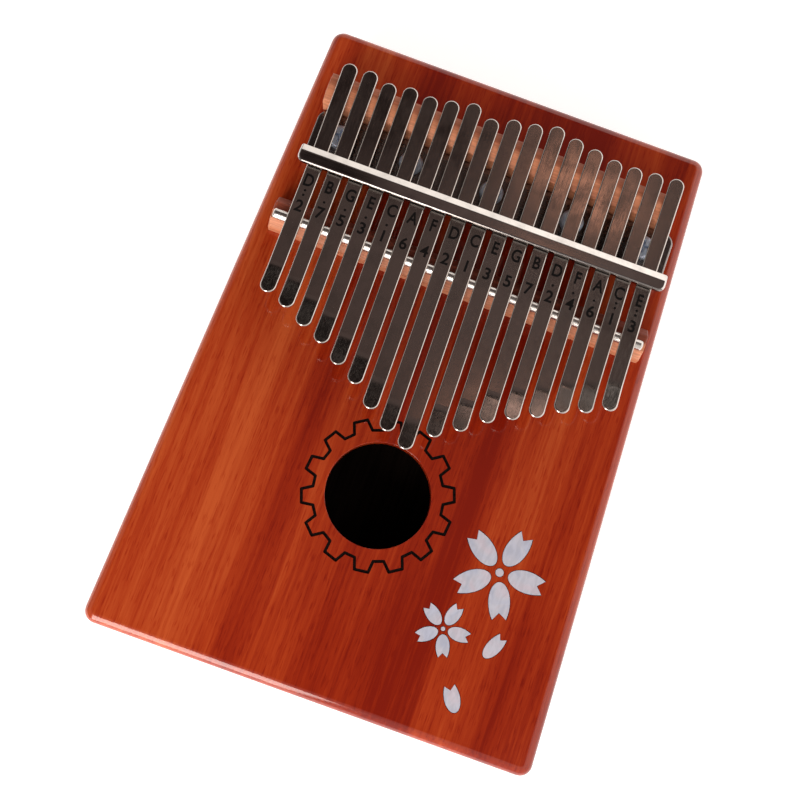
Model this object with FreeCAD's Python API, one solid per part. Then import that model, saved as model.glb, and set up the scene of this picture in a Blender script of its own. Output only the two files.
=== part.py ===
"""Seventeen-key kalimba (mbira) on a hollow tapered box.

Millimetres, +Z up out of the soundboard, +Y towards the head, where the tine tails are,
and +X to the player's right.  The origin is at the centre of the box's underside.
Each function makes one sub-part, and main() writes each sub-part to parts/NODE.step.
"""

import FreeCAD, Part
import math
import os

Vec = FreeCAD.Vector
X_AXIS, Z_AXIS = Vec(1, 0, 0), Vec(0, 0, 1)

# ---- sound box ----
BOX_LENGTH = 185.0       # head to tail
HEAD_WIDTH = 117.0       # narrow end, under the tine tails
TAIL_WIDTH = 129.8       # wide end, held by the player
BOX_HEIGHT = 32.0
PANEL = 4.0              # soundboard and back board
RIM = 9.0                # thickness of the four rim pieces
CORNER_R = 3.6           # corners seen from above
EDGE_R = 2.8             # rounding of the top and bottom edges
MITRE_REACH = 20.0       # how far the mitre planes run past the rim, both ways
CUT_REACH = 100.0        # cutting blocks reach this far from the middle, past every board

# ---- sound hole and the cog line engraved around it ----
HOLE_Y = -33.7
HOLE_R = 14.9
HOLE_EASE = 0.15         # rounding of the hole's upper rim
COG_TEETH = 14
COG_TIP_R = 21.4
COG_ROOT_R = 18.3
COG_TIP_SHARE = 0.40     # share of a tooth's pitch taken by its tip
COG_ROOT_SHARE = 0.36
COG_PHASE = 20.0         # angle of the first tooth
COG_LINE = 0.85          # width of the line
COG_DEPTH = 0.3

# ---- blossom inlays: x, y, petal length from the centre, petal width, bare middle, dot radius ----
LARGE_BLOSSOM = (39.0, -42.4, 12.9, 5.9, 2.6, 1.15)
SMALL_BLOSSOM = (29.2, -62.1, 7.7, 3.7, 1.5, 0.6)
PETAL_COUNT = 5
# ---- fallen petals: x, y of the rounded end, length, width, direction of the notch ----
UPPER_PETAL = (42.3, -65.6, 7.7, 3.9, 64.0)
LOWER_PETAL = (39.7, -82.2, 7.4, 4.3, 121.0)
# Shape of a petal, as shares of its width or length.
PETAL_NOTCH = 0.32       # depth of the notch, of the width
PETAL_TIP = 0.33         # half width at the tip, of the width
PETAL_ROOT_PULL = 0.36   # how bluntly the round end starts, of the width
PETAL_BELLY = 0.74       # pull of the widest part, of the width
PETAL_BELLY_PLACE = 0.45     # where that pull acts, of the length
PETAL_BELLY_GROWTH = 1.3     # extra pull that keeps a grown outline parallel
INLAY_DEPTH = 1.2
GLUE_LINE = 0.14         # dark glue gap round each inlay

# ---- tine hardware: heights are measured from the soundboard's top ----
HARDWARE_X = 1.1         # the tine set sits this far right of the box's middle
PITCH = 6.2              # tine to tine
TINE_WIDTH = 4.5
TINE_THICK = 1.0
TINE_EDGE = 0.4          # rounding of a tine's long edges
TINE_LEAN = 0.67         # degrees that the tines stand off square to the rod
STRIP_SPARE = 2.0        # length past a tine's ends that its plan outline trims off
LOWEST_FREE_LENGTH = 53.2    # speaking length of the lowest note before the tip correction
TIP_CORRECTION = 1.8
TAIL_Y = 79.0
ROD_Y = 30.4
ROD_R = 1.5
ROD_LENGTH = 110.3
ROD_X = 0.45             # middle of the rod
ROD_AXIS_Z = 7.5
ROD_END_R = 0.7
ROD_FIT = 0.02           # clearance between the rod and its groove
TINE_REST_GAP = 0.03     # running clearance between a tine and what it bears on
FREE_SLOPE = 4.5         # degrees that the free part of a tine climbs towards its tip
TIP_LENGTH = 8.3
TIP_SLOPE = 13.0         # slope of the turned-up tip
TINE_BENDS = (40.0, 60.0, 14.0)      # bend radii under the clamp, on the rod and at the tip
CLAMP_DIP = 1.9          # how far the clamp bows a tine down below the rod
TAIL_SLOPE = 3.0         # degrees that the tail climbs away from the clamp

# Semitones above C4 for each tine, left to right: the lowest note is in the middle.
TINE_NOTES = (26, 23, 19, 16, 12, 9, 5, 2, 0, 4, 7, 11, 14, 17, 21, 24, 28)
# How far each tine was tapped back through the clamp when it was tuned.
TUNING_SLIDE = (0, 0, -1.5, -0.5, -1, 0, 1.5, -1, 1, 2, 3.5, 2, 1, 0, 0, 0.5, 1)

# ---- one-piece clamp bracket: flange on the board, slotted web, pressing lip ----
CLAMP_LENGTH = 110.0
SHEET = 1.5
FLANGE_BEND_R = 1.6      # bend radii are on the middle of the sheet
WEB_BEND_R = 0.9
LIP_BEND_R = 2.0
LIP_SLOPE_DEPTH = 1.4    # the lip slopes down over this depth next to the web
LIP_SLOPE_DROP = 0.48
WEB_Y = 51.0
LIP_FRONT_Y = 46.5
FLANGE_REAR_Y = 66.6
LIP_GAP = 0.65           # clearance above the tines, so that a tine can rock on the rod
SLOT_WIDTH = 5.1
SLOT_REAR = 1.4          # how far the slots run back into the flange bend
SLOT_SILL = 0.2          # metal left above the flange below a slot
CLAMP_CORNER_R = 1.9
FLANGE_CORNER_R = 3.0
SHEET_EDGE = 0.65        # rounding of the lip's and flange's cut edges
SCREW_Y = 59.8
SCREW_PLACES = (-7.5, -4, 0, 4, 7.5)     # in tine pitches from the middle
SCREW_HEAD_R = 3.5
SCREW_HEAD_H = 2.1
SCREW_R = 1.75
SCREW_LENGTH = 14.0
SCREW_TIP = 3.0
SCREW_TIP_R = 0.2
SCREW_FIT = 0.03         # clearance round the shank in the wood
SCREW_HOLE_FIT = 0.25    # clearance round the shank in the clamp
SCREW_DOME_R = 1.26      # rounding of the pan head
CROSS_LENGTH = 3.8
CROSS_WIDTH = 0.85
CROSS_DEPTH = 1.2

# ---- wooden bridges and the block that takes the screws ----
FRONT_BRIDGE = (-56.5, 55.6, 27.2, 36.4)     # x from the tine set's middle, then y
FRONT_BRIDGE_H = 6.8
FRONT_BRIDGE_SLOPE = (2.4, 2.8)      # depth and drop of its two sloping flanks
BACK_BRIDGE = (-54.5, 51.2, 66.9, 75.6)
BACK_BRIDGE_CREST_Y = 70.8
BACK_BRIDGE_CROWN_R = 8.0
BRIDGE_EASE = 0.6
BLOCK_Y = (50.0, 69.0)
BLOCK_DEPTH = 12.0
BLOCK_EASE = 2.0

# ---- heights that follow ----
BOARD_TOP = BOX_HEIGHT
BOARD_UNDER = BOX_HEIGHT - PANEL
ROD_TOP = BOARD_TOP + ROD_AXIS_Z + ROD_R
TINE_AT_ROD = ROD_TOP + TINE_REST_GAP + TINE_THICK / 2      # middle of the strip
TINE_AT_CLAMP = TINE_AT_ROD - CLAMP_DIP
LIP_MIDDLE = TINE_AT_CLAMP + TINE_THICK / 2 + LIP_GAP + SHEET / 2
CLAMP_Y = (LIP_FRONT_Y + WEB_Y) / 2
TINE_COUNT = len(TINE_NOTES)


def tine_x(index):
    """Middle of a tine, counted from 0 at the left."""
    return HARDWARE_X + (index - (TINE_COUNT - 1) / 2) * PITCH


def box(x0, x1, y0, y1, z0, z1):
    return Part.makeBox(x1 - x0, y1 - y0, z1 - z0, Vec(x0, y0, z0))


def prism(points, z0, z1):
    """Upright prism on a closed plan outline given as (x, y) points."""
    corners = [Vec(x, y, z0) for x, y in points]
    face = Part.Face(Part.makePolygon(corners + corners[:1]))
    return face.extrude(Z_AXIS * (z1 - z0))


def half_width(y):
    """Half the box's width at a place along its length."""
    share = (BOX_LENGTH / 2 - y) / BOX_LENGTH
    return (HEAD_WIDTH + (TAIL_WIDTH - HEAD_WIDTH) * share) / 2


def trapezium(inset):
    """Plan corners of the box moved inwards by inset: head left, tail left, tail right, head right."""
    lean = math.atan((TAIL_WIDTH - HEAD_WIDTH) / 2 / BOX_LENGTH)
    y = BOX_LENGTH / 2 - inset
    head_x = half_width(y) - inset / math.cos(lean)
    tail_x = half_width(-y) - inset / math.cos(lean)
    return [(-head_x, y), (-tail_x, -y), (tail_x, -y), (head_x, y)]


def upright_edges(shape):
    return [e for e in shape.Edges if e.BoundBox.ZLength > 1 and e.BoundBox.XLength < 0.01
            and e.BoundBox.YLength < 0.01]


def edges_at_height(shape, z):
    return [e for e in shape.Edges if abs(e.BoundBox.ZMin - z) < 0.01 and abs(e.BoundBox.ZMax - z) < 0.01]


def box_envelope():
    """The whole sound box as one rounded solid, from which its boards are cut."""
    shape = prism(trapezium(0), 0, BOX_HEIGHT)
    shape = shape.makeFillet(CORNER_R, upright_edges(shape))
    rims = edges_at_height(shape, 0) + edges_at_height(shape, BOX_HEIGHT)
    return shape.makeFillet(EDGE_R, rims)


def slab(shape, z0, z1):
    """The part of a shape between two heights."""
    return shape.common(box(-CUT_REACH, CUT_REACH, -CUT_REACH, CUT_REACH, z0, z1))


# ---- plan outlines of the decoration ----

def petal_face(length, width, grow=0.0):
    """Petal lying along +X from its rounded end at the origin to its notched tip."""
    end = Vec(-grow, 0, 0)
    tip = Vec(length + grow, PETAL_TIP * width + grow, 0)
    pole_a = Vec(-grow, PETAL_ROOT_PULL * width + grow, 0)
    pole_b = Vec(PETAL_BELLY_PLACE * length, PETAL_BELLY * width + PETAL_BELLY_GROWTH * grow, 0)
    notch_point = Vec(length - PETAL_NOTCH * width + grow, 0, 0)

    def side(sign):
        curve = Part.BezierCurve()
        curve.setPoles([Vec(p.x, sign * p.y, 0) for p in (end, pole_a, pole_b, tip)])
        return curve.toShape()

    mirrored_tip = Vec(tip.x, -tip.y, 0)
    edges = [side(1), Part.makeLine(tip, notch_point), Part.makeLine(notch_point, mirrored_tip), side(-1)]
    return Part.Face(Part.Wire(Part.__sortEdges__(edges)))


def place_on_board(face, x, y, angle, depth):
    """Turn a plan face, move it to (x, y) and sink it into the soundboard."""
    solid = face.extrude(Z_AXIS * depth)
    solid.rotate(Vec(0, 0, 0), Z_AXIS, angle)
    solid.translate(Vec(x, y, BOARD_TOP - depth))
    return solid


def blossom_petals(blossom, grow=0.0):
    x, y, reach, width, bare, _ = blossom
    petals = []
    for k in range(PETAL_COUNT):
        face = petal_face(reach - bare, width, grow)
        face.translate(Vec(bare, 0, 0))
        petals.append(place_on_board(face, x, y, k * 360 / PETAL_COUNT, INLAY_DEPTH))
    return petals


def blossom_dot(blossom, grow=0.0):
    x, y, _, _, _, dot_r = blossom
    return Part.makeCylinder(dot_r + grow, INLAY_DEPTH, Vec(x, y, BOARD_TOP - INLAY_DEPTH))


def fallen_petal(petal, grow=0.0):
    x, y, length, width, angle = petal
    return place_on_board(petal_face(length, width, grow), x, y, angle, INLAY_DEPTH)


def cog_outline(offset):
    """Closed polygon of the cog line, moved outwards by offset."""
    pitch = 360.0 / COG_TEETH
    tip_half = COG_TIP_SHARE * pitch / 2
    root_half = COG_ROOT_SHARE * pitch / 2
    points = []
    for k in range(COG_TEETH):
        middle = COG_PHASE + k * pitch
        for angle, radius in ((-tip_half, COG_TIP_R), (tip_half, COG_TIP_R),
                              (pitch / 2 - root_half, COG_ROOT_R), (pitch / 2 + root_half, COG_ROOT_R)):
            turn = math.radians(middle + angle)
            points.append(Vec(radius * math.cos(turn), radius * math.sin(turn), 0))
    wire = Part.makePolygon(points + points[:1])
    return wire.makeOffset2D(offset)


def cog_groove():
    """The engraved line, sunk into the soundboard round the hole."""
    ring = Part.Face(cog_outline(COG_LINE / 2)).cut(Part.Face(cog_outline(-COG_LINE / 2)))
    groove = ring.extrude(Z_AXIS * (COG_DEPTH + 1))
    groove.translate(Vec(0, HOLE_Y, BOARD_TOP - COG_DEPTH))
    return groove


# ---- sound box ----

def screw_positions():
    return [Vec(HARDWARE_X + place * PITCH, SCREW_Y, BOARD_TOP + SHEET) for place in SCREW_PLACES]


def screw_hole(position):
    """Pilot hole for one clamp screw, a running fit on its shank."""
    depth = SCREW_LENGTH + SCREW_FIT
    return Part.makeCylinder(SCREW_R + SCREW_FIT, depth, position - Z_AXIS * depth)


def soundboard(envelope):
    board = slab(envelope, BOARD_UNDER, BOX_HEIGHT)
    hole = Part.makeCylinder(HOLE_R, 3 * PANEL, Vec(0, HOLE_Y, BOARD_UNDER - PANEL))
    board = board.cut(hole)
    hole_rim = [e for e in edges_at_height(board, BOARD_TOP) if e.BoundBox.XLength < 2 * HOLE_R + 1
                and e.BoundBox.YLength < 2 * HOLE_R + 1]
    board = board.makeFillet(HOLE_EASE, hole_rim)
    pockets = blossom_petals(LARGE_BLOSSOM, GLUE_LINE) + blossom_petals(SMALL_BLOSSOM, GLUE_LINE)
    pockets += [blossom_dot(LARGE_BLOSSOM, GLUE_LINE), blossom_dot(SMALL_BLOSSOM, GLUE_LINE)]
    pockets += [fallen_petal(UPPER_PETAL, GLUE_LINE), fallen_petal(LOWER_PETAL, GLUE_LINE)]
    pockets += [cog_groove()] + [screw_hole(p) for p in screw_positions()]
    return board.cut(pockets)


def back_board(envelope):
    return slab(envelope, 0, PANEL)


def rim_pieces(envelope):
    """Four rim pieces with mitred corners, in the order head, left, tail, right."""
    ring = slab(envelope, PANEL, BOARD_UNDER).cut(prism(trapezium(RIM), 0, BOX_HEIGHT))
    outer = trapezium(-MITRE_REACH)
    inner = trapezium(RIM + MITRE_REACH)
    pieces = []
    for a, b in ((3, 0), (0, 1), (1, 2), (2, 3)):
        wedge = prism([outer[a], outer[b], inner[b], inner[a]], 0, BOX_HEIGHT)
        pieces.append(ring.common(wedge))
    return pieces


def screw_block():
    """Block glued under the soundboard from rim to rim, which the clamp screws bite into."""
    under = BOARD_UNDER - BLOCK_DEPTH
    block = prism(trapezium(RIM), under, BOARD_UNDER)
    block = block.common(box(-CUT_REACH, CUT_REACH, *BLOCK_Y, under, BOARD_UNDER))
    lower = [e for e in edges_at_height(block, under) if e.BoundBox.YLength < 0.01]
    block = block.makeFillet(BLOCK_EASE, lower)
    return block.cut([screw_hole(p) for p in screw_positions()])


# ---- strips and sheet bent in the YZ plane ----

def bent_path(points, radii, offset):
    """Edges of a bent line moved sideways by offset, each corner rounded with its own radius.

    A positive offset is to the left of the direction of travel, and points are (y, z).
    """
    path = [Vec(0, y, z) for y, z in points]
    runs = [(b - a).normalize() for a, b in zip(path, path[1:])]
    sides = [Vec(0, -d.z, d.y) for d in runs]
    moved = [path[0] + sides[0] * offset]
    for i in range(1, len(path) - 1):
        mitre = (sides[i - 1] + sides[i]).normalize()
        moved.append(path[i] + mitre * (offset / mitre.dot(sides[i])))
    moved.append(path[-1] + sides[-1] * offset)
    edges = []
    here = moved[0]
    for i in range(1, len(path) - 1):
        turn = runs[i - 1].cross(runs[i]).x
        radius = radii[i - 1] - math.copysign(offset, turn)
        half = math.asin(min(1.0, abs(turn))) / 2
        if runs[i - 1].dot(runs[i]) < 0:
            half = math.pi / 2 - half
        reach = radius * math.tan(half)
        enter = moved[i] - runs[i - 1] * reach
        leave = moved[i] + runs[i] * reach
        bisector = (runs[i] - runs[i - 1]).normalize()
        crown = moved[i] + bisector * (radius / math.cos(half) - radius)
        edges.append(Part.makeLine(here, enter))
        edges.append(Part.Arc(enter, crown, leave).toShape())
        here = leave
    edges.append(Part.makeLine(here, moved[-1]))
    return edges, moved[0], moved[-1]


def bent_strip(points, radii, thickness, x0, x1):
    """Solid strip of the given thickness, from x0 to x1, bent along (y, z) points."""
    upper, upper_start, upper_end = bent_path(points, radii, thickness / 2)
    lower, lower_start, lower_end = bent_path(points, radii, -thickness / 2)
    ends = [Part.makeLine(upper_end, lower_end), Part.makeLine(lower_start, upper_start)]
    face = Part.Face(Part.Wire(Part.__sortEdges__(upper + lower + ends)))
    strip = face.extrude(X_AXIS * (x1 - x0))
    strip.translate(Vec(x0, 0, 0))
    return strip


# ---- tines ----

def free_length(index):
    """Speaking length: a steel strip's pitch falls with the square of its length."""
    return LOWEST_FREE_LENGTH / math.sqrt(2 ** (TINE_NOTES[index] / 12)) - TIP_CORRECTION


def tail_height(y):
    """Height of a tine's middle behind the clamp, where it runs straight to its tail."""
    return TINE_AT_CLAMP + (y - CLAMP_Y) * math.tan(math.radians(TAIL_SLOPE))


def tine_line(tail_y, tip_y):
    """Middle line of a tine in (y, z): tail, dip under the clamp, crest on the rod, turned-up tip."""
    bend_y = tip_y + TIP_LENGTH
    bend_z = TINE_AT_ROD + (ROD_Y - bend_y) * math.tan(math.radians(FREE_SLOPE))
    end_y = tip_y - STRIP_SPARE
    tip_z = bend_z + (bend_y - end_y) * math.tan(math.radians(TIP_SLOPE))
    start_y = tail_y + STRIP_SPARE
    return [(start_y, tail_height(start_y)), (CLAMP_Y, TINE_AT_CLAMP), (ROD_Y, TINE_AT_ROD),
            (bend_y, bend_z), (end_y, tip_z)]


def rounded_end_outline(x, tail_y, tip_y, z0, z1):
    """Upright prism with the plan of a tine: a straight strip with two round ends."""
    half = TINE_WIDTH / 2
    near, far = tip_y + half, tail_y - half
    edges = [Part.makeLine(Vec(x - half, near, z0), Vec(x - half, far, z0)),
             Part.Arc(Vec(x - half, far, z0), Vec(x, tail_y, z0), Vec(x + half, far, z0)).toShape(),
             Part.makeLine(Vec(x + half, far, z0), Vec(x + half, near, z0)),
             Part.Arc(Vec(x + half, near, z0), Vec(x, tip_y, z0), Vec(x - half, near, z0)).toShape()]
    return Part.Face(Part.Wire(edges)).extrude(Z_AXIS * (z1 - z0))


def tine(index):
    x = tine_x(index)
    tail_y = TAIL_Y + TUNING_SLIDE[index]
    tip_y = ROD_Y - free_length(index)
    line = tine_line(tail_y, tip_y)
    strip = bent_strip(line, TINE_BENDS, TINE_THICK, x - TINE_WIDTH, x + TINE_WIDTH)
    shape = strip.common(rounded_end_outline(x, tail_y, tip_y, BOARD_TOP, BOARD_TOP + CUT_REACH))
    long_edges = [e for e in shape.Edges if e.BoundBox.YLength > 0.05]
    shape = shape.makeFillet(TINE_EDGE, long_edges)
    shape.rotate(Vec(x, CLAMP_Y, 0), Z_AXIS, TINE_LEAN)
    return shape


# ---- bridges, rod, clamp and screws ----

def front_bridge():
    """Wooden bridge with sloping flanks and a groove that seats the steel rod."""
    left, right, y0, y1 = FRONT_BRIDGE
    x0, x1 = HARDWARE_X + left, HARDWARE_X + right
    depth, drop = FRONT_BRIDGE_SLOPE
    top = BOARD_TOP + FRONT_BRIDGE_H
    profile = [(y0, BOARD_TOP), (y1, BOARD_TOP), (y1, top - drop), (y1 - depth, top), (y0 + depth, top),
               (y0, top - drop)]
    corners = [Vec(x0, y, z) for y, z in profile]
    block = Part.Face(Part.makePolygon(corners + corners[:1])).extrude(X_AXIS * (x1 - x0))
    block = block.makeFillet(BRIDGE_EASE, [e for e in block.Edges if e.BoundBox.ZMin > BOARD_TOP + 0.1])
    start = Vec(x0 - 1, ROD_Y, BOARD_TOP + ROD_AXIS_Z)
    groove = Part.makeCylinder(ROD_R + ROD_FIT, x1 - x0 + 2, start, X_AXIS)
    return block.cut(groove)


def bridge_rod():
    start = Vec(ROD_X - ROD_LENGTH / 2, ROD_Y, BOARD_TOP + ROD_AXIS_Z)
    rod = Part.makeCylinder(ROD_R, ROD_LENGTH, start, X_AXIS)
    ends = [e for e in rod.Edges if e.BoundBox.XLength < 0.01]
    return rod.makeFillet(ROD_END_R, ends)


def back_bridge():
    """Wooden strip under the tine tails, its top crowned so that the tines bear on the crest."""
    left, right, y0, y1 = BACK_BRIDGE
    x = HARDWARE_X + left
    slope = math.radians(TAIL_SLOPE)
    normal = Vec(0, -math.sin(slope), math.cos(slope))
    tine_middle = Vec(x, BACK_BRIDGE_CREST_Y, tail_height(BACK_BRIDGE_CREST_Y))
    crest = tine_middle - normal * (TINE_THICK / 2 + TINE_REST_GAP)
    centre = crest - normal * BACK_BRIDGE_CROWN_R
    front, rear = [Vec(x, y, centre.z + math.sqrt(BACK_BRIDGE_CROWN_R ** 2 - (y - centre.y) ** 2))
                   for y in (y0, y1)]
    front_foot, rear_foot = Vec(x, y0, BOARD_TOP), Vec(x, y1, BOARD_TOP)
    edges = [Part.Arc(front, crest, rear).toShape(), Part.makeLine(rear, rear_foot),
             Part.makeLine(rear_foot, front_foot), Part.makeLine(front_foot, front)]
    strip = Part.Face(Part.Wire(edges)).extrude(X_AXIS * (right - left))
    return strip.makeFillet(BRIDGE_EASE, [e for e in strip.Edges if e.BoundBox.ZMin > BOARD_TOP + 0.1])


def clamp_plan():
    """Plan of the bracket: small corners on the lip, larger ones on the flange."""
    half = CLAMP_LENGTH / 2
    z0, z1 = BOARD_TOP - 1, LIP_MIDDLE + SHEET
    plan = box(HARDWARE_X - half, HARDWARE_X + half, LIP_FRONT_Y, FLANGE_REAR_Y, z0, z1)
    front = [e for e in upright_edges(plan) if e.BoundBox.YMax < WEB_Y]
    plan = plan.makeFillet(CLAMP_CORNER_R, front)
    rear = [e for e in upright_edges(plan) if e.BoundBox.YMin > FLANGE_REAR_Y - 0.01]
    return plan.makeFillet(FLANGE_CORNER_R, rear)


def tine_clamp():
    """Bracket bent from one sheet, with a cranked lip and a slot in its web for each tine."""
    flange_z = BOARD_TOP + SHEET / 2
    line = [(FLANGE_REAR_Y, flange_z), (WEB_Y, flange_z), (WEB_Y, LIP_MIDDLE - LIP_SLOPE_DROP),
            (WEB_Y - LIP_SLOPE_DEPTH, LIP_MIDDLE), (LIP_FRONT_Y, LIP_MIDDLE)]
    radii = (FLANGE_BEND_R, WEB_BEND_R, LIP_BEND_R)
    left, right = HARDWARE_X - CLAMP_LENGTH / 2, HARDWARE_X + CLAMP_LENGTH / 2
    bracket = bent_strip(line, radii, SHEET, left, right).common(clamp_plan())
    lip_top, flange_top = LIP_MIDDLE + SHEET / 2, BOARD_TOP + SHEET
    cut_edges = [e for e in edges_at_height(bracket, lip_top) if e.BoundBox.YMin < LIP_FRONT_Y + 0.1]
    cut_edges += [e for e in edges_at_height(bracket, flange_top) if e.BoundBox.YMax > FLANGE_REAR_Y - 0.1]
    bracket = bracket.makeFillet(SHEET_EDGE, cut_edges)
    slot_top = LIP_MIDDLE - SHEET / 2
    half, slot_rear = SLOT_WIDTH / 2, WEB_Y + SHEET / 2 + SLOT_REAR
    slots = [box(x - half, x + half, LIP_FRONT_Y - 1, slot_rear, flange_top + SLOT_SILL, slot_top)
             for x in map(tine_x, range(TINE_COUNT))]
    hole_r = SCREW_R + SCREW_HOLE_FIT
    holes = [Part.makeCylinder(hole_r, SHEET + 2, p - Z_AXIS * (SHEET + 1)) for p in screw_positions()]
    return bracket.cut(slots + holes)


def clamp_screw(position):
    """Pan-head wood screw with a cross recess, its head on the clamp's flange."""
    head = Part.makeCylinder(SCREW_HEAD_R, SCREW_HEAD_H, position)
    head = head.makeFillet(SCREW_DOME_R, edges_at_height(head, position.z + SCREW_HEAD_H))
    shank_length = SCREW_LENGTH - SCREW_TIP
    shank = Part.makeCylinder(SCREW_R, shank_length, position - Z_AXIS * shank_length)
    tip = Part.makeCone(SCREW_R, SCREW_TIP_R, SCREW_TIP, position - Z_AXIS * shank_length, -Z_AXIS)
    screw = head.fuse([shank, tip])
    floor = position.z + SCREW_HEAD_H - CROSS_DEPTH
    long_half, short_half = CROSS_LENGTH / 2, CROSS_WIDTH / 2
    for x_half, y_half in ((long_half, short_half), (short_half, long_half)):
        screw = screw.cut(box(position.x - x_half, position.x + x_half, position.y - y_half,
                              position.y + y_half, floor, floor + 2 * SCREW_HEAD_H))
    return screw


def save(name, shape):
    solids = shape.Solids
    if not shape.isValid() or not solids:
        raise ValueError(name + " is not a valid solid")
    shape.exportStep("parts/" + name + ".step")
    print(name, len(solids), "solid(s)", round(shape.Volume, 1), "mm3")


def main():
    os.makedirs("parts", exist_ok=True)
    envelope = box_envelope()
    save("soundboard", soundboard(envelope))
    save("back_board", back_board(envelope))
    for name, piece in zip(("head_rim", "left_rim", "tail_rim", "right_rim"), rim_pieces(envelope)):
        save(name, piece)
    save("screw_block", screw_block())
    save("front_bridge", front_bridge())
    save("bridge_rod", bridge_rod())
    save("back_bridge", back_bridge())
    save("tine_clamp", tine_clamp())
    save("clamp_screws", Part.makeCompound([clamp_screw(p) for p in screw_positions()]))
    for i in range(TINE_COUNT):
        save("tine_%02d" % (i + 1), tine(i))
    save("large_blossom", Part.makeCompound(blossom_petals(LARGE_BLOSSOM)))
    save("large_blossom_dot", blossom_dot(LARGE_BLOSSOM))
    save("small_blossom", Part.makeCompound(blossom_petals(SMALL_BLOSSOM)))
    save("small_blossom_dot", blossom_dot(SMALL_BLOSSOM))
    save("fallen_petal_upper", fallen_petal(UPPER_PETAL))
    save("fallen_petal_lower", fallen_petal(LOWER_PETAL))


main()
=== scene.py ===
"""Looks of the seventeen-key kalimba: materials, note marks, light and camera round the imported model.

Metres, +Z up out of the soundboard, +Y towards the head, where the tine tails are, and +X to the
player's right.
"""
import math

import bmesh
import bpy
from mathutils import Matrix, Vector


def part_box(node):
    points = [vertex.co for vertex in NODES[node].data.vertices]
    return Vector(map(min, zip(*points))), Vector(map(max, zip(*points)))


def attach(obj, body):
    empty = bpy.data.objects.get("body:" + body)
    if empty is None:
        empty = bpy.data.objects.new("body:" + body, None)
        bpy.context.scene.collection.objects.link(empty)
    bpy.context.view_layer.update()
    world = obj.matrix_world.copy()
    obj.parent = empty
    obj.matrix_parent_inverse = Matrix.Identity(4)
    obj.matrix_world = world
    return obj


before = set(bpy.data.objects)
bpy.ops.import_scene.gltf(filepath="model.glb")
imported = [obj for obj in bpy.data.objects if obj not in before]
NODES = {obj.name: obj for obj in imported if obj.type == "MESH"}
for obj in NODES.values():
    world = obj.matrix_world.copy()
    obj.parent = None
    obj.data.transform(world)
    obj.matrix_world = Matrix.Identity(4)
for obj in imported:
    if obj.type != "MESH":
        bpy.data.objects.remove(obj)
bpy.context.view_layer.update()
MM = 0.001

# ---- places on the object, in metres ----
BOARD_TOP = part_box("soundboard")[1].z
BOARD_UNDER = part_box("soundboard")[0].z
FACE_SLACK = 0.01 * MM                    # how far off a flat face a face's centre may lie
HOLE_X, HOLE_Y = 0.0, -33.7 * MM
COG_RANGE = (17.0 * MM, 22.5 * MM)        # the engraved cog line lies between these radii
COG_DEPTH = 0.5 * MM                      # nothing of the cog line is deeper
COG_FLOOR = 0.1 * MM                      # its faces deeper than this are its floor
POCKETS_X = (15.0 * MM, 54.0 * MM)        # the inlay pockets lie within these
POCKETS_Y = (-88.5 * MM, -20.0 * MM)
POCKET_TOP = 0.0001 * MM
POCKET_DEPTH = 1.3 * MM                   # nothing of a pocket is deeper
POCKET_FLOOR = 1.0 * MM                   # its faces deeper than this are its floor
FLANGE_TOP = BOARD_TOP + 1.6 * MM         # clamp faces lower than this are on the flange
FLANGE_FRONT_Y = 53.5 * MM
LIP_EDGE_Y = 47.3 * MM                    # clamp faces in front of this are on the lip's edge

# ---- how much of a face's normal points along Z ----
LEVEL = 0.9                               # a level face has more than this
COG_WALL = 0.5                            # a wall of the cog line has less than this
POCKET_WALL = 0.3                         # and a wall of a pocket less than this
FLANGE_FACE = 0.7                         # the top of the clamp's flange has more than this
LIP_FACE = 0.98                           # the lip's edge has less than this, its top and underside more

# ---- note marks: semitones above the lowest note, tine by tine from the left ----
TINE_NOTES = (26, 23, 19, 16, 12, 9, 5, 2, 0, 4, 7, 11, 14, 17, 21, 24, 28)
OCTAVE = 12
DEGREES = {0: "C1", 2: "D2", 4: "E3", 5: "F4", 7: "G5", 9: "A6", 11: "B7"}
LETTER_Y = 42.3 * MM
NUMBER_Y = 34.2 * MM
DOT_Y = (37.6 * MM, 39.1 * MM)
LETTER_SIZE = (4.0 * MM, 5.3 * MM)        # across and along a tine
NUMBER_SIZE = (4.7 * MM, 4.9 * MM)
BOLDER = 0.022                            # stroke growth on a unit-high character
DOT_R = 0.38 * MM
DOT_SIDES = 20
MARK_DEPTH = 0.03 * MM
ABOVE_ALL = 1.0                           # height from which the steel's surface is felt for

# ---- soundboard figure, with painted shade at its head: place across the board in mm, and tone from dark 0 to light 1 ----
GROWTH_BANDS = ((-62, 0.74), (-50, 0.66), (-42, 0.95), (-38, 0.68), (-30, 0.66), (-25, 0.22), (-18, 0.50),
                (-8, 0.54), (-2, 0.24), (4, 0.38), (12, 0.28), (27, 0.06), (31, 0.56), (38, 0.42), (44, 0.58),
                (50, 0.08), (56, 0.32), (62, 0.30))
BAND_HALF = 64.0
BAND_WANDER = 2.6 * MM
RIGHT_LIFT = 0.24                         # the board's right side grows lighter over these stretches
RIGHT_LIFT_X = (24 * MM, 46 * MM)
RIGHT_LIFT_Y = (-72 * MM, -34 * MM)
HEAD_SHADE = -0.14                        # and painted shade makes its head darker over this one
HEAD_SHADE_Y = (30 * MM, 80 * MM)

# ---- painted shade on the back of each bridge: where it starts, and its tint ----
FRONT_PAINTED_SHADE = (30.6 * MM, (0.42, 0.20, 0.16))
BACK_PAINTED_SHADE = (71.2 * MM, (0.68, 0.50, 0.42))
PAINTED_SHADE_BLUR = 1.6 * MM

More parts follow.
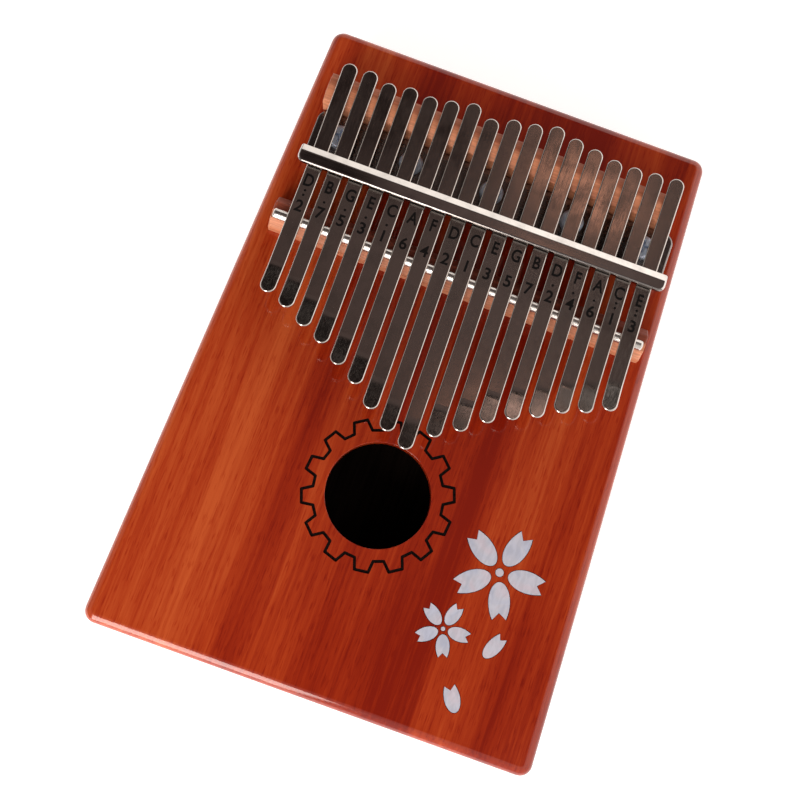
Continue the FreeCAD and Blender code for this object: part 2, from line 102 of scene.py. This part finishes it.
# ---- room light: a dark canopy overhead, leaning towards the head, and bright sides ----
CANOPY_MIDDLE = Vector((-0.17, 0.267, 0.95)).normalized()
CANOPY = (                           # cosine of the angle off the canopy's middle, and colour of the light
    (0.0000, (1.00, 0.93, 0.88)), (0.7400, (1.00, 0.93, 0.88)), (0.8300, (0.45, 0.41, 0.39)),
    (0.8750, (0.06, 0.05, 0.045)), (0.9250, (0.05, 0.035, 0.032)), (0.9500, (0.10, 0.074, 0.068)),
    (0.9950, (0.10, 0.070, 0.064)), (0.9982, (0.02, 0.012, 0.011)), (1.0000, (0.01, 0.006, 0.006)))
ROOM_LEFT, ROOM_RIGHT = 0.65, 2.05   # light level of the bright sides
ROOM_PLAYER, ROOM_HEAD = 0.45, 0.80
ROOM_REACH = (0.6, 0.5)              # the levels are reached this far out on the unit sphere's X and Y
FLAGS = (                            # black flags overhead: middle and half size on the unit sphere's X, Y
    ((-0.050, 0.277), (0.065, 0.040)),
    ((-0.112, 0.325), (0.036, 0.024)),
    ((0.000, 0.595), (0.300, 0.090)))
FLAG_EDGE = (0.75, 1.15)             # a flag fades out between these shares of its size
FLAG_SHADE = 0.15                    # light level behind a flag
ANY_HEIGHT = 1e6                     # a flag's half size along Z: its shape doesn't depend on Z
FLOOR_GLOW = 0.60
FLOOR_HALF = 10.0

# ---- camera ----
CAMERA_TARGET = Vector((-3.3, -6.3, 32.0)) * MM
CAMERA_DISTANCE = 325.1 * MM
CAMERA_TILT = math.radians(9.30)          # away from straight overhead, towards the player
CAMERA_LEAN = math.radians(-0.34)         # away from straight overhead, towards the left
CAMERA_SPIN = math.radians(19.94)         # the head points this far right of up
CAMERA_LENS = 51.8
SENSOR = 36.0
CLIP_START = 0.02


# ---------------------------------------------------------------- shader helper

class Recipe:
    """One procedural material. Inputs may be numbers, colours or the outputs of other nodes."""

    def __init__(self, name, **sockets):
        self.material = bpy.data.materials.new(name)
        self.material.use_nodes = True
        self.tree = self.material.node_tree
        self.shader = self.tree.nodes["Principled BSDF"]
        self.place = self.tree.nodes.new("ShaderNodeTexCoord").outputs["Object"]
        self.set(**sockets)

    def set(self, **sockets):
        for name, value in sockets.items():
            self.feed(self.shader.inputs[name.replace("_", " ")], value)

    def feed(self, socket, value):
        if isinstance(value, bpy.types.NodeSocket):
            self.tree.links.new(value, socket)
        elif isinstance(value, tuple) and len(value) == 3 and len(socket.default_value) == 4:
            socket.default_value = (*value, 1.0)
        else:
            socket.default_value = value

    def node(self, kind, inputs, **settings):
        made = self.tree.nodes.new("ShaderNode" + kind)
        for name, value in settings.items():
            setattr(made, name, value)
        for key, value in inputs.items():
            self.feed(made.inputs[key], value)
        return made

    def stretched(self, scale, shift=(0.0, 0.0, 0.0)):
        inputs = {"Vector": self.place, "Scale": scale, "Location": shift}
        return self.node("Mapping", inputs).outputs["Vector"]

    def noise(self, vector, scale=1.0, detail=3.0, rough=0.5, bend=0.0):
        inputs = {"Vector": vector, "Scale": scale, "Detail": detail, "Roughness": rough, "Distortion": bend}
        return self.node("TexNoise", inputs).outputs["Fac"]

    def math(self, operation, a, b=0.0, clamp=False):
        return self.node("Math", {0: a, 1: b}, operation=operation, use_clamp=clamp).outputs[0]

    def spread(self, value, low, high, to_low=0.0, to_high=1.0, smooth=True):
        kind = "SMOOTHSTEP" if smooth else "LINEAR"
        inputs = {"Value": value, "From Min": low, "From Max": high, "To Min": to_low, "To Max": to_high}
        return self.node("MapRange", inputs, interpolation_type=kind).outputs["Result"]

    def blend(self, share, a, b, kind="MIX"):
        made = self.tree.nodes.new("ShaderNodeMix")
        made.data_type = "RGBA"
        made.blend_type = kind
        self.feed(made.inputs[0], share)
        self.feed(made.inputs[6], a)
        self.feed(made.inputs[7], b)
        return made.outputs[2]

    def ramp(self, value, stops):
        made = self.node("ValToRGB", {"Fac": value})
        elements = made.color_ramp.elements
        while len(elements) < len(stops):
            elements.new(0.5)
        for element, (place, colour) in zip(elements, stops):
            element.position = place
            element.color = (*colour, 1.0)
        return made.outputs["Color"]

    def bump(self, height, distance, strength=1.0):
        inputs = {"Height": height, "Distance": distance, "Strength": strength}
        self.set(Normal=self.node("Bump", inputs).outputs["Normal"])

    def axis(self, name):
        return self.node("SeparateXYZ", {"Vector": self.place}).outputs[name]


# ---------------------------------------------------------------- materials

def grain_space(recipe, along, across, lengthwise, seed):
    """Object space squeezed for grain: features per metre across it and along it."""
    scale = (across, lengthwise, across) if along == "Y" else (lengthwise, across, across)
    return recipe.stretched(scale, (seed, seed * 1.7, seed * 0.6))


def grey(recipe, value):
    return recipe.node("CombineColor", {0: value, 1: value, 2: value}).outputs[0]


def banded_tone(recipe):
    """The soundboard's own broad bands, running lengthwise and wandering a little, with painted shade
    darkening its head.
    """
    wander = recipe.noise(grain_space(recipe, "Y", 30, 9, 2.0), detail=2)
    shift = recipe.spread(wander, 0, 1, -BAND_WANDER, BAND_WANDER, smooth=False)
    across = recipe.math("ADD", recipe.axis("X"), shift)
    share = recipe.spread(across, -BAND_HALF * MM, BAND_HALF * MM, smooth=False)
    tone = recipe.ramp(share, [((x + BAND_HALF) / (2 * BAND_HALF), (t, t, t)) for x, t in GROWTH_BANDS])
    along = recipe.axis("Y")
    right = recipe.spread(recipe.axis("X"), *RIGHT_LIFT_X)
    lift = recipe.math("MULTIPLY", right, recipe.spread(along, *RIGHT_LIFT_Y, 0.0, RIGHT_LIFT))
    tone = recipe.math("ADD", tone, lift)
    # painted shade: the head end of the board darkens
    return recipe.math("ADD", tone, recipe.spread(along, *HEAD_SHADE_Y, 0.0, HEAD_SHADE))


def mahogany(name, along, seed, banded=False):
    """Red-brown stained mahogany under satin lacquer, its grain along the given axis."""
    r = Recipe(name, IOR=1.45, Coat_Weight=0.85, Coat_Roughness=0.09, Coat_IOR=1.6)
    r.shader.inputs["Specular IOR Level"].default_value = 0.05
    figure = r.noise(grain_space(r, along, 55, 5, seed), detail=2, rough=0.5, bend=0.4)
    streaks = r.noise(grain_space(r, along, 330, 11, seed), detail=3, rough=0.55, bend=0.3)
    fibres = r.noise(grain_space(r, along, 1150, 42, seed), detail=3, rough=0.6)
    pores = r.noise(grain_space(r, along, 2500, 230, seed), detail=1, rough=0.4)
    tone = banded_tone(r) if banded else r.spread(figure, 0.3, 0.7, 0.1, 0.9)
    tone = r.math("ADD", tone, r.spread(streaks, 0.25, 0.75, -0.24, 0.24, smooth=False))
    tone = r.math("ADD", tone, r.spread(fibres, 0.25, 0.75, -0.20, 0.20, smooth=False))
    tone = r.math("ADD", tone, r.spread(pores, 0.28, 0.44, -0.22, 0.0), clamp=True)
    r.set(Base_Color=r.ramp(tone, [
        (0.0, (0.205, 0.0090, 0.0018)),
        (0.3, (0.290, 0.0200, 0.0035)),
        (0.6, (0.385, 0.0400, 0.0075)),
        (1.0, (0.510, 0.0860, 0.0200)),
    ]))
    r.set(Roughness=r.spread(fibres, 0.3, 0.7, 0.50, 0.38))
    r.bump(r.math("ADD", r.math("MULTIPLY", pores, 0.7), fibres), distance=0.04 * MM, strength=0.3)
    return r.material


def bridge_wood(name, shade_from_y, shade_tint):
    """Pale tan hardwood, lightly sanded, its grain along X, and darkened by painted shade behind the given y.
    """
    r = Recipe(name, IOR=1.45)
    figure = r.noise(r.stretched((14, 160, 160)), detail=3, rough=0.6, bend=0.4)
    fibres = r.noise(r.stretched((160, 2400, 2400)), detail=3, rough=0.7)
    body = r.ramp(figure, [
        (0.3, (0.48, 0.160, 0.078)),
        (0.5, (0.66, 0.255, 0.130)),
        (0.7, (0.80, 0.345, 0.200)),
    ])
    # painted shade: the tint darkens the wood towards the back of the bridge
    darkened = r.blend(1.0, body, shade_tint, "MULTIPLY")
    body = r.blend(r.spread(r.axis("Y"), shade_from_y, shade_from_y + PAINTED_SHADE_BLUR), body, darkened)
    tint = grey(r, r.spread(fibres, 0.3, 0.7, 0.80, 1.12))
    r.set(Base_Color=r.blend(1.0, body, tint, "MULTIPLY"))
    r.set(Roughness=r.spread(fibres, 0.3, 0.7, 0.62, 0.45))
    r.bump(fibres, distance=0.08 * MM, strength=0.5)
    return r.material


def bare_wood(name, dark, light):
    """Unlacquered wood with a coarse open grain."""
    r = Recipe(name, IOR=1.4)
    r.shader.inputs["Specular IOR Level"].default_value = 0.1
    fibres = r.noise(r.stretched((900, 40, 900)), detail=3, rough=0.7)
    r.set(Base_Color=r.ramp(fibres, [(0.3, dark), (0.7, light)]))
    r.set(Roughness=r.spread(fibres, 0.3, 0.7, 0.9, 0.7))
    r.bump(fibres, distance=0.1 * MM, strength=0.4)
    return r.material


def burnt_line(name):
    """Charred wood in an engraved line, and the dark glue round an inlay."""
    r = Recipe(name, IOR=1.4)
    char = r.noise(r.stretched((2500, 900, 2500)), detail=3)
    r.set(Base_Color=r.ramp(char, [(0.35, (0.0015, 0.001, 0.001)), (0.7, (0.008, 0.003, 0.002))]))
    r.shader.inputs["Specular IOR Level"].default_value = 0.15
    r.set(Roughness=r.spread(char, 0.3, 0.7, 0.95, 0.75))
    r.bump(char, distance=0.08 * MM, strength=0.5)
    return r.material


def plated(name, colour, smoothest, roughest, scratch_along="Y", metallic=1.0):
    """Polished metal: faint ripples in the surface and hair scratches in its roughness."""
    r = Recipe(name, Metallic=metallic)
    scale = (5200, 120, 5200) if scratch_along == "Y" else (120, 5200, 5200)
    scratches = r.noise(r.stretched(scale), detail=2, rough=0.6)
    smudges = r.noise(r.stretched((140, 140, 140)), detail=3, rough=0.6)
    wave = r.noise(r.stretched((110, 60, 110)), detail=1)
    dull = tuple(0.78 * c for c in colour)
    r.set(Base_Color=r.blend(r.spread(smudges, 0.4, 0.75), colour, dull))
    both = r.math("ADD", r.math("MULTIPLY", scratches, 0.5), r.math("MULTIPLY", smudges, 0.5))
    r.set(Roughness=r.spread(both, 0.35, 0.65, smoothest, roughest))
    r.bump(r.math("ADD", wave, r.math("MULTIPLY", scratches, 0.02)), distance=0.03 * MM)
    return r.material


def pearl(name):
    """Mother-of-pearl: cool milky layers with a faint pink and blue play of colour."""
    r = Recipe(name, Roughness=0.24, IOR=1.53, Coat_Weight=0.6, Coat_Roughness=0.06)
    cloud = r.noise(r.stretched((190, 190, 190)), detail=1, bend=0.8)
    layers = r.noise(r.stretched((700, 260, 700)), detail=2, rough=0.5, bend=1.0)
    hue = r.ramp(cloud, [(0.32, (0.47, 0.50, 0.62)), (0.5, (0.53, 0.54, 0.63)), (0.68, (0.57, 0.53, 0.61))])
    tint = grey(r, r.spread(layers, 0.3, 0.7, 0.92, 1.06))
    r.set(Base_Color=r.blend(1.0, hue, tint, "MULTIPLY"))
    r.bump(layers, distance=0.05 * MM, strength=0.3)
    return r.material


def etched_mark(name):
    """Dark oxide left by marking the steel."""
    r = Recipe(name, IOR=1.2)
    speck = r.noise(r.stretched((4000, 4000, 4000)), detail=2)
    r.set(Base_Color=r.ramp(speck, [(0.3, (0.002, 0.002, 0.002)), (0.7, (0.007, 0.005, 0.005))]))
    r.set(Roughness=r.spread(speck, 0.3, 0.7, 0.8, 0.6))
    return r.material


def studio_floor(name):
    """White translucent paper, lit a little from below so that it takes no shadow."""
    r = Recipe(name, Roughness=0.8, Emission_Color=(1.0, 1.0, 1.0), Emission_Strength=FLOOR_GLOW)
    paper = r.noise(r.stretched((300, 300, 300)), detail=2)
    r.set(Base_Color=r.ramp(paper, [(0.3, (0.86, 0.86, 0.86)), (0.7, (0.90, 0.90, 0.90))]))
    return r.material


# ---------------------------------------------------------------- dressing the CAD nodes

def tine_name(index):
    return "tine_%02d" % (index + 1)


def dress(node, material):
    mesh = NODES[node].data
    mesh.materials.clear()
    mesh.materials.append(material)


def dress_faces(node, material, wanted):
    """A further material on the faces of a node that wanted(face centre, face normal) picks."""
    mesh = NODES[node].data
    mesh.materials.append(material)
    slot = len(mesh.materials) - 1
    for face in mesh.polygons:
        if wanted(face.center, face.normal):
            face.material_index = slot


def hole_distance(point):
    return math.hypot(point.x - HOLE_X, point.y - HOLE_Y)


def under_board(centre, normal):
    return centre.z < BOARD_UNDER + FACE_SLACK and normal.z < -LEVEL


def faces_up(centre, normal):
    return normal.z > LEVEL


def in_cog_line(centre, normal):
    """On the floor or a wall of the engraved line."""
    depth = BOARD_TOP - centre.z
    inside = COG_RANGE[0] < hole_distance(centre) < COG_RANGE[1]
    on_wall = depth > 0.0 and abs(normal.z) < COG_WALL
    return inside and depth < COG_DEPTH and (depth > COG_FLOOR or on_wall)


def in_pocket(centre, normal):
    """On the floor or a wall of an inlay's pocket."""
    depth = BOARD_TOP - centre.z
    inside = POCKETS_X[0] < centre.x < POCKETS_X[1] and POCKETS_Y[0] < centre.y < POCKETS_Y[1]
    clear_of_cog = hole_distance(centre) > COG_RANGE[1]
    on_wall = abs(normal.z) < POCKET_WALL
    return inside and clear_of_cog and POCKET_TOP < depth < POCKET_DEPTH and (on_wall or depth > POCKET_FLOOR)


def faces_inwards(centre, normal):
    return normal.x * centre.x + normal.y * centre.y < 0


# picks the flange's top faces, which get painted shade
def on_flange(centre, normal):
    return centre.z < FLANGE_TOP and centre.y > FLANGE_FRONT_Y and normal.z > FLANGE_FACE


# picks the lip's edge faces, which get painted shade
def on_lip_edge(centre, normal):
    return centre.z > FLANGE_TOP and centre.y < LIP_EDGE_Y and abs(normal.z) < LIP_FACE


def dress_sound_box():
    side_wood = mahogany("mahogany_sides", "Y", 8.4)
    end_wood = mahogany("mahogany_ends", "X", 5.3)
    # painted shade: the inside faces of the box are coloured near-black
    inside = bare_wood("inside_wood_painted_shade", (0.004, 0.002, 0.0015), (0.012, 0.006, 0.004))
    dress("soundboard", mahogany("mahogany_soundboard", "Y", 3.1, banded=True))
    dress_faces("soundboard", inside, under_board)
    dress_faces("soundboard", burnt_line("burnt_line"), in_cog_line)
    dress_faces("soundboard", burnt_line("glue_line"), in_pocket)
    dress("back_board", mahogany("mahogany_back", "Y", 12.7))
    dress_faces("back_board", inside, faces_up)
    rims = (("left_rim", side_wood), ("right_rim", side_wood), ("head_rim", end_wood), ("tail_rim", end_wood))
    for node, wood in rims:
        dress(node, wood)
        dress_faces(node, inside, faces_inwards)
    dress("screw_block", bare_wood("block_wood", (0.25, 0.15, 0.08), (0.40, 0.26, 0.15)))


def dress_hardware():
    # both bridges carry painted shade on their backs
    dress("front_bridge", bridge_wood("front_bridge_wood", *FRONT_PAINTED_SHADE))
    dress("back_bridge", bridge_wood("back_bridge_wood", *BACK_PAINTED_SHADE))
    dress("bridge_rod", plated("rod_steel", (0.70, 0.67, 0.64), 0.20, 0.30, scratch_along="X"))
    dress("tine_clamp", plated("clamp_plate", (0.72, 0.69, 0.66), 0.06, 0.12, scratch_along="X"))
    # painted shade: the clamp's flange, seen through the tine gaps, gets a dark colour
    flange = plated("clamp_flange_painted_shade", (0.24, 0.22, 0.21), 0.16, 0.28, scratch_along="X")
    dress_faces("tine_clamp", flange, on_flange)
    # painted shade: a dark colour on the lip's edge dims its reflected highlight
    edge = plated("clamp_edge_painted_shade", (0.27, 0.25, 0.24), 0.12, 0.24, scratch_along="X")
    dress_faces("tine_clamp", edge, on_lip_edge)
    dress("clamp_screws", plated("screw_steel", (0.70, 0.82, 1.00), 0.30, 0.50, metallic=0.5))
    tine_steel = plated("tine_steel", (0.60, 0.55, 0.51), 0.10, 0.20)
    for index in range(len(TINE_NOTES)):
        dress(tine_name(index), tine_steel)


def dress_inlays():
    shell = pearl("pearl")
    for node in ("large_blossom", "large_blossom_dot", "small_blossom", "small_blossom_dot",
                 "fallen_petal_upper", "fallen_petal_lower"):
        dress(node, shell)


# ---------------------------------------------------------------- note marks

def glyph_mesh(text, size):
    """A flat character as a thin closed mesh, stretched to its size and centred on the origin."""
    curve = bpy.data.curves.new("glyph", "FONT")
    curve.body = text
    curve.offset = BOLDER
    curve.extrude = 0.5
    holder = bpy.data.objects.new("glyph", curve)
    bpy.context.scene.collection.objects.link(holder)
    bpy.context.view_layer.update()
    mesh = bpy.data.meshes.new_from_object(holder)
    bpy.data.objects.remove(holder)
    mesh.transform(Matrix.Diagonal((*size, MARK_DEPTH, 1.0)))
    middle_x = (min(v.co.x for v in mesh.vertices) + max(v.co.x for v in mesh.vertices)) / 2
    middle_y = (min(v.co.y for v in mesh.vertices) + max(v.co.y for v in mesh.vertices)) / 2
    mesh.transform(Matrix.Translation((-middle_x, -middle_y, 0)))
    return mesh


def surface_matrix(tine, x, y):
    """Where a mark lies on a tine: its middle on the steel, tilted with it."""
    _, place, normal, _ = NODES[tine].ray_cast(Vector((x, y, ABOVE_ALL)), Vector((0, 0, -1)))
    turn = Vector((0, 0, 1)).rotation_difference(normal).to_matrix().to_4x4()
    return Matrix.Translation(place) @ turn


def note_mark(index, material):
    """Note letter, octave dots and scale number of one tine, as one piece that rides on it."""
    tine = tine_name(index)
    low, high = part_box(tine)
    x = (low.x + high.x) / 2
    letter, number = DEGREES[TINE_NOTES[index] % OCTAVE]
    joined = bmesh.new()
    for text, y, size in ((letter, LETTER_Y, LETTER_SIZE), (number, NUMBER_Y, NUMBER_SIZE)):
        mesh = glyph_mesh(text, size)
        mesh.transform(surface_matrix(tine, x, y))
        joined.from_mesh(mesh)
    for y in DOT_Y[:TINE_NOTES[index] // OCTAVE]:
        matrix = surface_matrix(tine, x, y)
        bmesh.ops.create_cone(joined, cap_ends=True, segments=DOT_SIDES, radius1=DOT_R, radius2=DOT_R,
                              depth=MARK_DEPTH, matrix=matrix)
    mesh = bpy.data.meshes.new("note_mark_%02d" % (index + 1))
    joined.to_mesh(mesh)
    joined.free()
    mesh.materials.append(material)
    piece = bpy.data.objects.new("note_mark_%02d" % (index + 1), mesh)
    bpy.context.scene.collection.objects.link(piece)
    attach(piece, tine)


# ---------------------------------------------------------------- floor, light and camera

def make_floor():
    mesh = bpy.data.meshes.new("floor")
    corners = [(x * FLOOR_HALF, y * FLOOR_HALF, 0) for x, y in ((-1, -1), (1, -1), (1, 1), (-1, 1))]
    mesh.from_pydata(corners, [], [(0, 1, 2, 3)])
    mesh.materials.append(studio_floor("floor_paper"))
    floor = bpy.data.objects.new("floor", mesh)
    bpy.context.scene.collection.objects.link(floor)


def softbox(name, place, size, radiance, target, colour):
    """A rectangular light of even radiance that faces its target."""
    light = bpy.data.lights.new(name, "AREA")
    light.shape = "RECTANGLE"
    light.size, light.size_y = size
    light.energy = radiance * math.pi * size[0] * size[1]
    light.color = colour
    lamp = bpy.data.objects.new(name, light)
    lamp.location = place
    lamp.rotation_euler = (Vector(target) - Vector(place)).to_track_quat("-Z", "Y").to_euler()
    bpy.context.scene.collection.objects.link(lamp)


def make_world():
    """A pale warm room under the dark canopy, brighter to the right, with black flags hung overhead."""
    world = bpy.data.worlds.new("studio")
    world.use_nodes = True
    bpy.context.scene.world = world
    tree = world.node_tree
    links = tree.links
    place = tree.nodes.new("ShaderNodeTexCoord").outputs["Generated"]
    off_middle = tree.nodes.new("ShaderNodeVectorMath")
    off_middle.operation = "DOT_PRODUCT"
    off_middle.inputs[1].default_value = CANOPY_MIDDLE
    links.new(place, off_middle.inputs[0])
    ramp = tree.nodes.new("ShaderNodeValToRGB")
    links.new(off_middle.outputs["Value"], ramp.inputs["Fac"])
    elements = ramp.color_ramp.elements
    while len(elements) < len(CANOPY):
        elements.new(0.5)
    for element, (cosine, colour) in zip(elements, CANOPY):
        element.position = cosine
        element.color = (*colour, 1.0)
    split = tree.nodes.new("ShaderNodeSeparateXYZ")
    links.new(place, split.inputs[0])
    level = tree.nodes.new("ShaderNodeMath")
    level.operation = "MULTIPLY"
    sides = (("X", ROOM_REACH[0], ROOM_LEFT, ROOM_RIGHT), ("Y", ROOM_REACH[1], ROOM_PLAYER, ROOM_HEAD))
    for socket, (axis, reach, low, high) in zip(level.inputs, sides):
        side = tree.nodes.new("ShaderNodeMapRange")
        side.inputs["From Min"].default_value = -reach
        side.inputs["From Max"].default_value = reach
        side.inputs["To Min"].default_value = low
        side.inputs["To Max"].default_value = high
        links.new(split.outputs[axis], side.inputs["Value"])
        links.new(side.outputs["Result"], socket)
    for middle, size in FLAGS:
        off_flag = tree.nodes.new("ShaderNodeMapping")
        off_flag.vector_type = "TEXTURE"
        off_flag.inputs["Location"].default_value = (*middle, 0.0)
        off_flag.inputs["Scale"].default_value = (*size, ANY_HEIGHT)
        links.new(place, off_flag.inputs["Vector"])
        share = tree.nodes.new("ShaderNodeVectorMath")
        share.operation = "LENGTH"
        links.new(off_flag.outputs["Vector"], share.inputs[0])
        shade = tree.nodes.new("ShaderNodeMapRange")
        shade.inputs["From Min"].default_value, shade.inputs["From Max"].default_value = FLAG_EDGE
        shade.inputs["To Min"].default_value = FLAG_SHADE
        links.new(share.outputs["Value"], shade.inputs["Value"])
        shaded = tree.nodes.new("ShaderNodeMath")
        shaded.operation = "MULTIPLY"
        links.new(level.outputs[0], shaded.inputs[0])
        links.new(shade.outputs["Result"], shaded.inputs[1])
        level = shaded
    background = tree.nodes["Background"]
    links.new(ramp.outputs["Color"], background.inputs["Color"])
    links.new(level.outputs[0], background.inputs["Strength"])


def make_lights():
    softbox("player_box", place=(-0.14, -0.604, 0.339), size=(0.315, 0.56), radiance=8.6,
            target=(-0.05, -0.09, 0.03), colour=(1.0, 0.92, 0.86))
    softbox("warm_card", place=(0.272, 0.785, 2.54), size=(0.26, 0.10), radiance=0.85,
            target=(0.025, 0.07, 0.04), colour=(1.0, 0.45, 0.28))
    softbox("tip_card", place=(0.112, 0.565, 0.8), size=(0.12, 0.03), radiance=0.95,
            target=(0.03, -0.01, 0.04), colour=(1.0, 0.66, 0.56))
    softbox("head_box", place=(0.0, 0.65, 0.45), size=(0.6, 0.25), radiance=0.3,
            target=(0.0, 0.05, 0.03), colour=(1.0, 0.92, 0.87))


def make_camera():
    camera = bpy.data.cameras.new("camera")
    camera.lens = CAMERA_LENS
    camera.sensor_width = SENSOR
    camera.clip_start = CLIP_START
    eye = bpy.data.objects.new("camera", camera)
    turn = Matrix.Rotation(CAMERA_TILT, 4, "X") @ Matrix.Rotation(CAMERA_LEAN, 4, "Y")
    turn = turn @ Matrix.Rotation(CAMERA_SPIN, 4, "Z")
    back = turn @ Vector((0, 0, 1))
    eye.matrix_world = Matrix.Translation(CAMERA_TARGET + back * CAMERA_DISTANCE) @ turn
    bpy.context.scene.collection.objects.link(eye)
    bpy.context.scene.camera = eye
    bpy.context.scene.view_settings.view_transform = "Standard"


dress_sound_box()
dress_hardware()
dress_inlays()
mark_material = etched_mark("etched_mark")
for tine_index in range(len(TINE_NOTES)):
    note_mark(tine_index, mark_material)
make_floor()
make_world()
make_lights()
make_camera()
